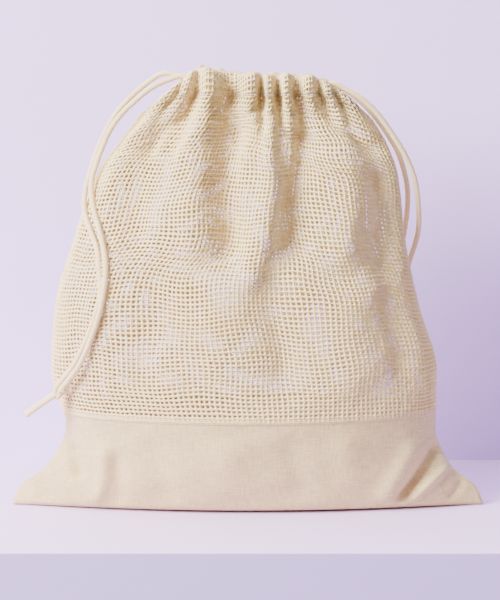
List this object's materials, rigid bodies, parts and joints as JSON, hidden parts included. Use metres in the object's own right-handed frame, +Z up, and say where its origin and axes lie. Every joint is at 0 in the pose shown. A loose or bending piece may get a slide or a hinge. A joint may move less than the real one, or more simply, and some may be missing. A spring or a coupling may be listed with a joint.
{
  "type": "mesh laundry bag",
  "caption": "Cotton net laundry bag with a woven canvas base band, gathered drawcord hem and double drawcords, standing in its loaded shape.",
  "frame": {"origin": "on the floor under the middle of the base, which is the bottom centre of the bag's box", "axes": "+Z up through the mouth, -Y towards the front panel, +X to the right seen from the front"},
  "size_m": [0.356, 0.1376, 0.3305],
  "materials": {
    "net": "knotted cotton yarn, matt",
    "canvas": "plain woven natural cotton, matt",
    "seam": "folded and overlocked cotton",
    "cord": "round braided cotton cord, matt"
  },
  "bodies": {
    "bag": {"canvas_front": "canvas", "canvas_back": "canvas", "bottom_seam": "seam", "net_front": "net", "net_back": "net", "front_join_seam": "seam", "back_join_seam": "seam", "left_side_seam": "seam", "right_side_seam": "seam", "front_hem_middle": "net", "back_hem_middle": "net"},
    "mouth_left": {"front_hem_left": "net", "back_hem_left": "net", "left_bartack": "seam"},
    "mouth_right": {"front_hem_right": "net", "back_hem_right": "net", "right_bartack": "seam"},
    "left_drawstring": {"left_cord_in_hem": "cord", "left_cord_front_run": "cord", "left_cord_back_run": "cord", "left_knot": "cord", "left_cord_tails": "cord"},
    "right_drawstring": {"right_cord_in_hem": "cord", "right_cord_front_run": "cord", "right_cord_back_run": "cord", "right_knot": "cord", "right_cord_tails": "cord"}
  },
  "joints": [
    {"name": "left_draw", "type": "slide", "parent": "bag", "child": "left_drawstring", "axis": [-1, 0, 0], "range_m": [0, 0.02]},
    {"name": "right_draw", "type": "slide", "parent": "bag", "child": "right_drawstring", "axis": [1, 0, 0], "range_m": [0, 0.02]},
    {"name": "right_gather", "type": "slide", "parent": "bag", "child": "mouth_right", "axis": [-1, 0, 0], "range_m": [0, 0.02]},
    {"name": "left_gather", "type": "slide", "parent": "bag", "child": "mouth_left", "axis": [1, 0, 0], "range_m": [0, 0.02]}
  ],
  "couplings": [
    {"joint": "right_gather", "follows": "left_draw", "ratio": 1},
    {"joint": "left_gather", "follows": "right_draw", "ratio": 1}
  ]
}
